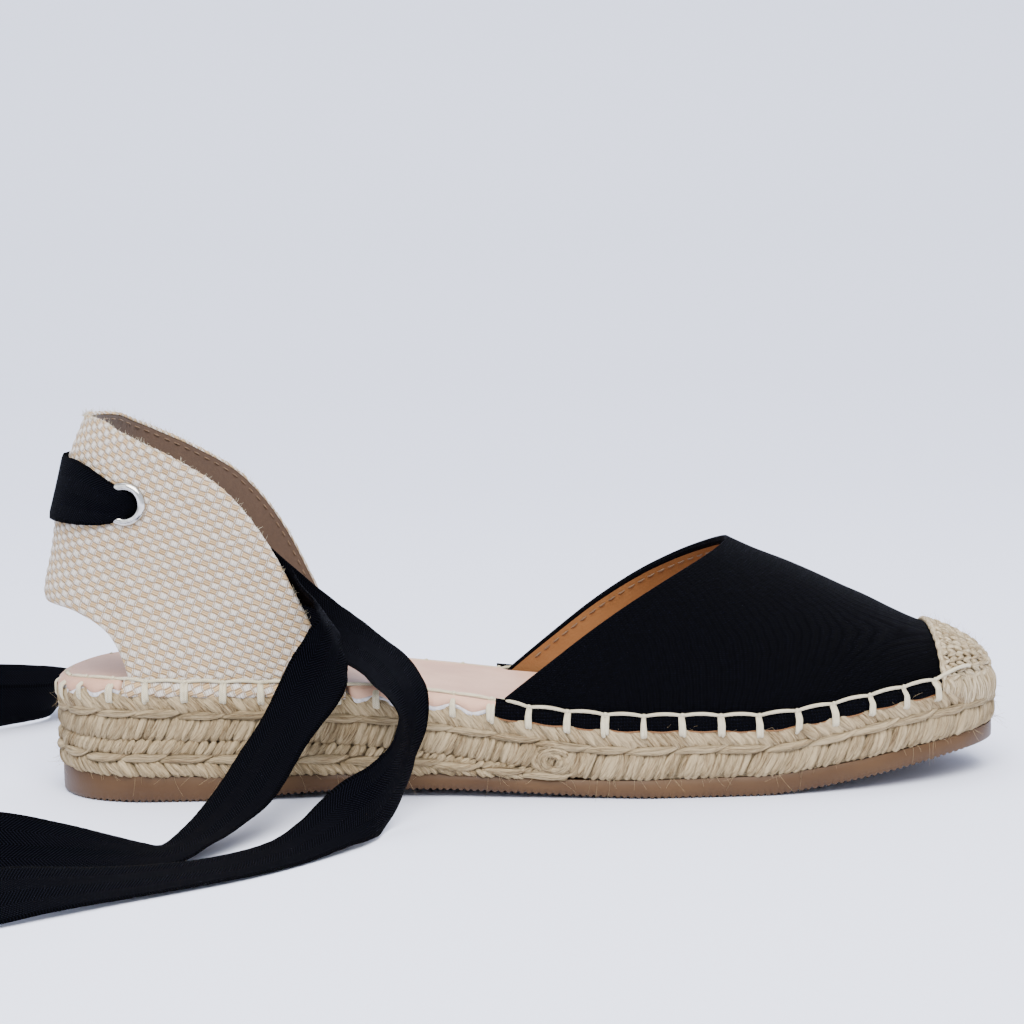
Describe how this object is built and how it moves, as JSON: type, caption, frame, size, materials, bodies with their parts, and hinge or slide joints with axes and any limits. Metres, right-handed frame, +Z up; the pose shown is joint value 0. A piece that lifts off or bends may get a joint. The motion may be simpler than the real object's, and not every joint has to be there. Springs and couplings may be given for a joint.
{
  "type": "espadrille",
  "caption": "Ankle-tie espadrille for a right foot: open canvas vamp and heel counter on a low jute wedge with a rubber underside, crocheted jute toe cap and long ribbon ties.",
  "frame": {"origin": "middle of the shoe's outline without its loose ties, on the plane it stands on", "axes": "+X from the heel towards the toe, +Y towards the inner (big toe) side, +Z up out of the shoe"},
  "size_m": [0.3352, 0.3104, 0.0986],
  "materials": {
    "sole_rubber": "matt moulded crepe-brown rubber, fine ribs along its lower edge",
    "jute": "plaited unbleached jute rope with loose fibres",
    "insole_leather": "smooth undyed pinkish tan leather over a grey-white layer",
    "black_canvas": "blue-black twill canvas with a folded hem and a camel lining",
    "natural_canvas": "basket weave in off-white and tan yarn, tan lining",
    "eyelet_metal": "bright nickel-plated rolled ring",
    "ribbon": "black herringbone cotton tape with ribbed edges"
  },
  "bodies": {
    "root": {"outsole": "sole_rubber", "jute_wedge": "jute", "jute_braid": "jute", "insole": "insole_leather", "vamp": "black_canvas", "toe_cap": "jute", "heel_counter": "natural_canvas", "eyelet_outer": "eyelet_metal", "eyelet_inner": "eyelet_metal", "tie_back_band": "ribbon", "tie_outer": "ribbon", "tie_inner": "ribbon"}
  },
  "joints": []
}
